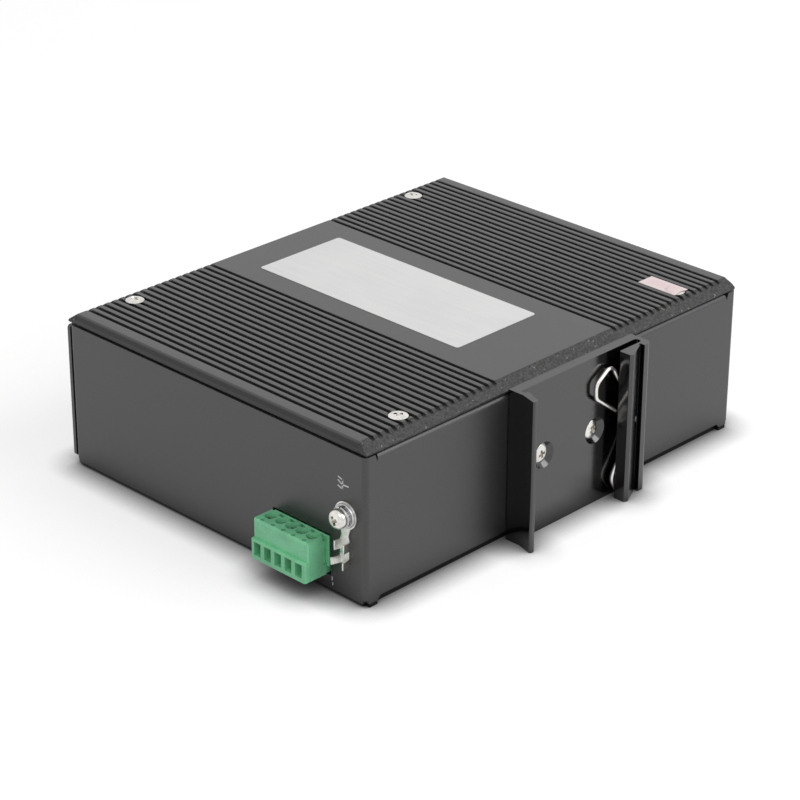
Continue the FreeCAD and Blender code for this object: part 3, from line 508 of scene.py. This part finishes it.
def softened(name, newName, finish, body, width, segments=2):
    # a merged copy of the solid with its edges rounded a little
    piece = nodes[name].copy()
    piece.data = nodes[name].data.copy()
    bpy.context.scene.collection.objects.link(piece)
    editing(piece, "EDGE")
    bpy.ops.mesh.select_all(action="SELECT")
    bpy.ops.mesh.remove_doubles(threshold=mergeGap)
    bpy.ops.mesh.dissolve_limited(angle_limit=math.radians(softening["flat"]))
    done()
    modify(piece, "BEVEL", width=width * mm, segments=segments, limit_method="ANGLE",
           angle_limit=math.radians(softening["edge"]), use_clamp_overlap=True)
    smooth(piece, softening["smooth"])
    modify(piece, "WEIGHTED_NORMAL", weight=100, keep_sharp=True)
    dress(piece, newName, finish, body, (name,))


# the stage: white paper that keeps the shadow, plain surroundings, soft lamps
stage = {
    "floorSize": 6.0,
    "floorColour": 0.52,
    "floorRough": 0.9,
    "lift": 0.63,          # the paper's own light, for the camera and for reflections
    "contact": 0.009,      # reach of the shadow at the foot
    "contactDepth": 2.0,
    "contactColour": 0.02,
    "worldLight": 0.50,
    "softboxes": [         # place, size, power
        ((-0.45, 0.95, 0.85), 0.9, 9.0),
        ((0.60, 0.60, 1.00), 0.7, 1.0),
    ],
}


def whiteRays(tree):
    path = addNode(tree, "ShaderNodeLightPath")
    camera, glossy, through = [
        Wire(tree, path.outputs[kind]) for kind in ("Is Camera Ray", "Is Glossy Ray", "Is Transmission Ray")
    ]
    return camera | glossy | through


def buildStage():
    bpy.ops.mesh.primitive_plane_add(size=stage["floorSize"], location=(0, 0, 0))
    floor = bpy.context.object
    floor.name = "studioFloor"
    paint = Paint("floorPaper", Roughness=stage["floorRough"], Specular_IOR_Level=0.0)
    near = paint.add("ShaderNodeAmbientOcclusion", {"samples": 16}, {"Distance": stage["contact"]}, output="AO")
    near = near ** stage["contactDepth"]
    dark, light = [tone(*[stage[key]] * 3) for key in ("contactColour", "floorColour")]
    paint.finish(paint.blend(near, dark, light))
    glow = paint.blend(whiteRays(paint.tree) * near, tone(0, 0, 0), tone(1, 1, 1))
    plug(paint.tree, paint.shader.inputs["Emission Color"], glow)
    plug(paint.tree, paint.shader.inputs["Emission Strength"], stage["lift"])
    floor.data.materials.append(paint.material)

    world = bpy.data.worlds.new("studioWorld")
    world.use_nodes = True
    bpy.context.scene.world = world
    background = world.node_tree.nodes["Background"]
    background.inputs["Color"].default_value = tone(1, 1, 1)
    light = stage["worldLight"]
    plug(world.node_tree, background.inputs["Strength"], whiteRays(world.node_tree) * (1 - light) + light)

    for place, size, power in stage["softboxes"]:
        bpy.ops.object.light_add(type="AREA", location=place)
        lamp = bpy.context.object
        lamp.data.size = size
        lamp.data.energy = power
        lamp.rotation_euler = (-Vector(place)).to_track_quat("-Z", "Y").to_euler()


# angles in degrees, distance in metres, aside and above as shares of it
cameraView = {
    "azimuth": 134.344, "elevation": 25.978, "roll": 0.243, "distance": 0.70108,
    "lens": 121.12065, "sensor": 36, "aside": 0.00210918, "above": 0.01621879, "nearest": 0.01,
}


def buildCamera():
    view = cameraView
    a, e, t = (math.radians(view[k]) for k in ("azimuth", "elevation", "roll"))
    back = Vector((math.sin(a) * math.cos(e), -math.cos(a) * math.cos(e), math.sin(e)))
    right = Vector((0, 0, 1)).cross(back).normalized()
    up = back.cross(right)
    right, up = right * math.cos(t) + up * math.sin(t), up * math.cos(t) - right * math.sin(t)
    spot = (back - right * view["aside"] + up * view["above"]) * view["distance"]
    bpy.ops.object.camera_add(location=spot)
    camera = bpy.context.object
    camera.rotation_euler = Matrix((right, up, back)).transposed().to_euler()
    camera.data.lens = view["lens"]
    camera.data.sensor_width = view["sensor"]
    camera.data.clip_start = view["nearest"]
    camera.data.dof.use_dof = False
    bpy.context.scene.camera = camera


buildStage()
buildCamera()
print("stage and camera ready")


# the clip's wire spring, in mm: corners as x and z, and the bend at each inner one
springValues = {
    "corners": [
        (-18.3, 28.5), (-13.25, 37.4), (-7.6, 33.65), (-7.8, 29.9), (-22.6, 18.8), (-14.6, 5.2), (-17.3, 0.9),
    ],
    "bends": [2.2, 2.6, 2.2, 1.0, 3.0],
    "radius": 0.55,
    "tip": 0.72,      # the ends are eased to this share of the radius
    "tipRun": 0.35,
    "sides": 20,
    "bendSteps": 10,
    "smooth": 50,
}


def buildSpring():
    values = springValues
    low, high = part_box("clip_spring")
    height = (low.y + high.y) / 2
    spots = [Vector((x * mm, height, z * mm)) for x, z in values["corners"]]
    radius = values["radius"] * mm
    tipRun = radius * values["tipRun"]
    run = (spots[1] - spots[0]).normalized()
    facing = run.to_track_quat("Z", "Y").to_euler()
    bpy.ops.mesh.primitive_circle_add(vertices=values["sides"], radius=radius * values["tip"], location=spots[0],
                                      rotation=facing, fill_type="NGON")
    wire = bpy.context.object
    settle(wire)
    editing(wire, "FACE")
    bpy.ops.mesh.select_all(action="SELECT")

    def grow(step, size=1.0):
        bpy.ops.mesh.extrude_region_move(TRANSFORM_OT_translate={"value": step})
        if size != 1.0:
            bpy.ops.transform.resize(value=(size, size, size))

    grow(run * tipRun, 1 / values["tip"])
    here = spots[0] + run * tipRun
    for k in range(1, len(spots) - 1):
        ahead = (spots[k + 1] - spots[k]).normalized()
        turn = run.angle(ahead)
        bend = values["bends"][k - 1] * mm
        setback = bend * math.tan(turn / 2)
        first = spots[k] - run * setback
        grow(first - here)
        hinge = run.cross(ahead).normalized()
        centre = first + hinge.cross(run) * bend
        # spin counts the other way
        bpy.ops.mesh.spin(steps=values["bendSteps"], angle=-turn, center=centre, axis=hinge)
        here = spots[k] + ahead * setback
        run = ahead
    grow(spots[-1] - here - run * tipRun)
    grow(run * tipRun, values["tip"])
    done()
    tidy(wire)
    smooth(wire, values["smooth"])
    dress(wire, "springWire", "wire", "housing", ("clip_spring",))


# screws in mm; a shape's points are shares of the head's radius and height
screwValues = {
    "cover": {
        "head": 2.42, "room": 0.18, "shank": 1.25, "length": 5.6, "turns": (22, 65, -10, 40),
        "cross": 3.4, "crossWidth": 0.85, "crossDepth": 1.2,
    },
    "clip": {
        "head": 2.45, "room": 0.0, "shank": 1.5, "length": 5.0, "turns": (35, 12),
        "cross": 3.3, "crossWidth": 0.85, "crossDepth": 1.2,
    },
    "earth": {
        "head": 2.5, "shank": 1.5, "length": 7.6, "rise": 2.3, "turn": 25,
        "cross": 3.5, "crossWidth": 1.0, "crossDepth": 1.6,
        "shape": [(0, 1), (0.35, 0.99), (0.6, 0.94), (0.8, 0.82), (0.94, 0.62), (1, 0.4), (1, 0.08), (0.96, 0)],
    },
    "dome": 0.45,
    "domeShape": [(0, 1), (0.3, 0.985), (0.55, 0.88), (0.78, 0.62), (0.93, 0.25), (1, 0)],
    "rim": (0.985, -0.08),  # share of the radius, and height
    "smooth": 38,
}


def raisedScrew(centre, axis, values, turn):
    r, s, dome = values["head"], values["shank"], screwValues["dome"]
    rimShare, rimHeight = screwValues["rim"]
    profile = [(r * across, dome * up) for across, up in screwValues["domeShape"]]
    profile += [(r * rimShare, rimHeight), (s, s - r), (s, -values["length"]), (0, -values["length"])]
    screw = lathe(centre, axis, profile)
    carve(screw, crossCutter(Vector(centre) + Vector(axis) * dome * mm, axis, values, turn))
    smooth(screw, screwValues["smooth"])
    return screw


def buildScrews():
    values = screwValues["cover"]
    low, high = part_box("cover_screws")
    head = (values["head"] + values["room"]) * mm
    rim = high.z - screwValues["dome"] * mm
    spots = [(x, y, rim) for x in (low.x + head, high.x - head) for y in (low.y + head, high.y - head)]
    made = [raisedScrew(spot, (0, 0, 1), values, turn) for spot, turn in zip(spots, values["turns"])]
    dress(join(made), "coverScrews", "nickel", "housing", ("cover_screws",))

    values = screwValues["clip"]
    low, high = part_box("clip_screws")
    head = (values["head"] + values["room"]) * mm
    rim = high.y - screwValues["dome"] * mm
    spots = [(x, rim, (low.z + high.z) / 2) for x in (low.x + head, high.x - head)]
    made = [raisedScrew(spot, (0, 1, 0), values, turn) for spot, turn in zip(spots, values["turns"])]
    dress(join(made), "clipScrews", "nickel", "housing", ("clip_screws",))

    values = screwValues["earth"]
    low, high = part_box("ground_screw")
    r, s, rise = values["head"], values["shank"], values["rise"]
    seat = Vector((high.x - rise * mm, (low.y + high.y) / 2, (low.z + high.z) / 2))
    profile = [(r * across, rise * up) for across, up in values["shape"]]
    profile += [(s, 0), (s, -values["length"]), (0, -values["length"])]
    screw = lathe(seat, (1, 0, 0), profile)
    carve(screw, crossCutter(seat + Vector((rise * mm, 0, 0)), (1, 0, 0), values, values["turn"]))
    smooth(screw, screwValues["smooth"])
    dress(screw, "earthScrew", "nickel", "housing", ("ground_screw",))


clipEdge = 0.12  # mm
buildSpring()
buildScrews()
softened("din_clip", "railClip", "din_clip", "housing", clipEdge)
print("rail clip, spring and screws ready")


# earth lug and washers, in mm
washerValues = {
    "flat": {"bore": 1.62, "face": 3.0, "rim": 3.13, "ease": 0.18},
    "lock": {"bore": 1.65, "face": 2.6, "rim": 2.73, "ease": 0.12},
    "gap": (3, 0.45, 2.4), "gapRise": 2.2, "gapTilt": -35,
    "steps": 48, "smooth": 40,
}


def washer(low, high, values):
    middle = (low + high) / 2
    thick = (high.x - low.x) / mm
    bore, face, rim, ease = (values[key] for key in ("bore", "face", "rim", "ease"))
    ring = [(bore, 0), (face, 0), (rim, ease), (rim, thick - ease), (face, thick), (bore, thick), (bore, 0)]
    return lathe((low.x, middle.y, middle.z), (1, 0, 0), ring, washerValues["steps"])


def buildWashers():
    low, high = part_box("ground_flat_washer")
    flat = washer(low, high, washerValues["flat"])
    smooth(flat, washerValues["smooth"])
    dress(flat, "flatWasher", "washer", "housing", ("ground_flat_washer",))

    low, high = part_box("ground_lock_washer")
    lock = washer(low, high, washerValues["lock"])
    middle = (low + high) / 2
    cutter = block(middle + Vector((0, 0, washerValues["gapRise"] * mm)), washerValues["gap"])
    cutter.rotation_euler = (0, 0, math.radians(washerValues["gapTilt"]))
    settle(cutter)
    carve(lock, cutter)
    smooth(lock, washerValues["smooth"])
    dress(lock, "lockWasher", "washer", "housing", ("ground_lock_washer",))


lugEdge = 0.08  # mm
buildWashers()
softened("ground_ring_terminal", "earthLug", "tin", "housing", lugEdge)
print("earth lug and washers ready")


# white print on the terminal face, in mm: the chassis-earth sign and two dashes
printValues = {
    "strokes": [  # y and z of both ends, width
        (45.60, 31.30, 45.50, 28.90, 0.42),
        (45.66, 31.25, 44.27, 31.74, 0.38),
        (45.50, 30.05, 44.17, 30.79, 0.38),
        (45.52, 28.90, 44.16, 29.40, 0.38),
        (45.65, 30.02, 47.38, 30.16, 0.40),
        (41.9, 3.6, 41.9, 4.3, 0.30),
        (42.1, 2.3, 42.1, 2.8, 0.28),
    ],
    "thick": 0.03,
    "rise": 0.005,
    "rounding": 0.45,  # share of the width
    "roundingSteps": 3,
    "corner": 60,
}


def buildPrint():
    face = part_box("chassis")[1].x
    marks = []
    for y0, z0, y1, z1, width in printValues["strokes"]:
        run = Vector((0, y1 - y0, z1 - z0))
        bar = block((0, 0, 0), (printValues["thick"], run.length + width, width))
        settle(bar)
        modify(bar, "BEVEL", width=width * printValues["rounding"] * mm, segments=printValues["roundingSteps"],
               limit_method="ANGLE", angle_limit=math.radians(printValues["corner"]), affect="EDGES")
        bar.rotation_euler = (math.atan2(run.z, run.y), 0, 0)
        bar.location = (face + printValues["rise"] * mm, (y0 + y1) / 2 * mm, (z0 + z1) / 2 * mm)
        settle(bar)
        marks.append(bar)
    dress(join(marks), "facePrint", "print", "housing")


buildPrint()
print("print ready")


# terminal plug, in mm: rounded edges, slotted screws
plugValues = {
    "plugEdge": 0.16, "headerEdge": 0.10,
    "poles": 5, "pitch": 3.5, "screwX": 70.5,
    "headRadius": 1.38, "headShape": [(0, 0), (0.7, -0.02), (0.92, -0.12), (1, -0.3), (1, -2.25)],
    "shank": 0.93, "shankTop": -2.3,
    "slot": 0.5, "slotDepth": 0.6, "slotLength": 4, "turn": 15, "turnStep": 140,
    "steps": 28, "smooth": 40,
}


def buildPlug():
    values = plugValues
    softened("plug_housing", "plugHousing", "green", "terminal_plug", values["plugEdge"])
    softened("header_housing", "headerHousing", "green", "housing", values["headerEdge"])
    low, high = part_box("plug_screws")
    middle = (low.y + high.y) / 2
    r, s, foot = values["headRadius"], values["shank"], (low.z - high.z) / mm
    profile = [(r * across, up) for across, up in values["headShape"]]
    profile += [(s, values["shankTop"]), (s, foot), (0, foot)]
    made = []
    for pole in range(values["poles"]):
        aside = pole - (values["poles"] - 1) / 2
        spot = Vector((values["screwX"] * mm, middle + values["pitch"] * mm * aside, high.z))
        screw = lathe(spot, (0, 0, 1), profile, values["steps"])
        cutter = block(spot, (values["slotLength"], values["slot"], 2 * values["slotDepth"]))
        cutter.rotation_euler = (0, 0, math.radians(values["turn"] + values["turnStep"] * aside))
        settle(cutter)
        carve(screw, cutter)
        made.append(screw)
    screws = join(made)
    smooth(screws, values["smooth"])
    dress(screws, "plugScrews", "zinc", "terminal_plug", ("plug_screws",))


buildPlug()
print("terminal plug ready")


# cover with its edges broken, in mm
coverEdge = 0.10
softened("finned_cover", "finnedCover", "finned_cover", "housing", coverEdge, 1)
print("cover ready")

bpy.context.scene.view_settings.view_transform = "Standard"
print("all ready")
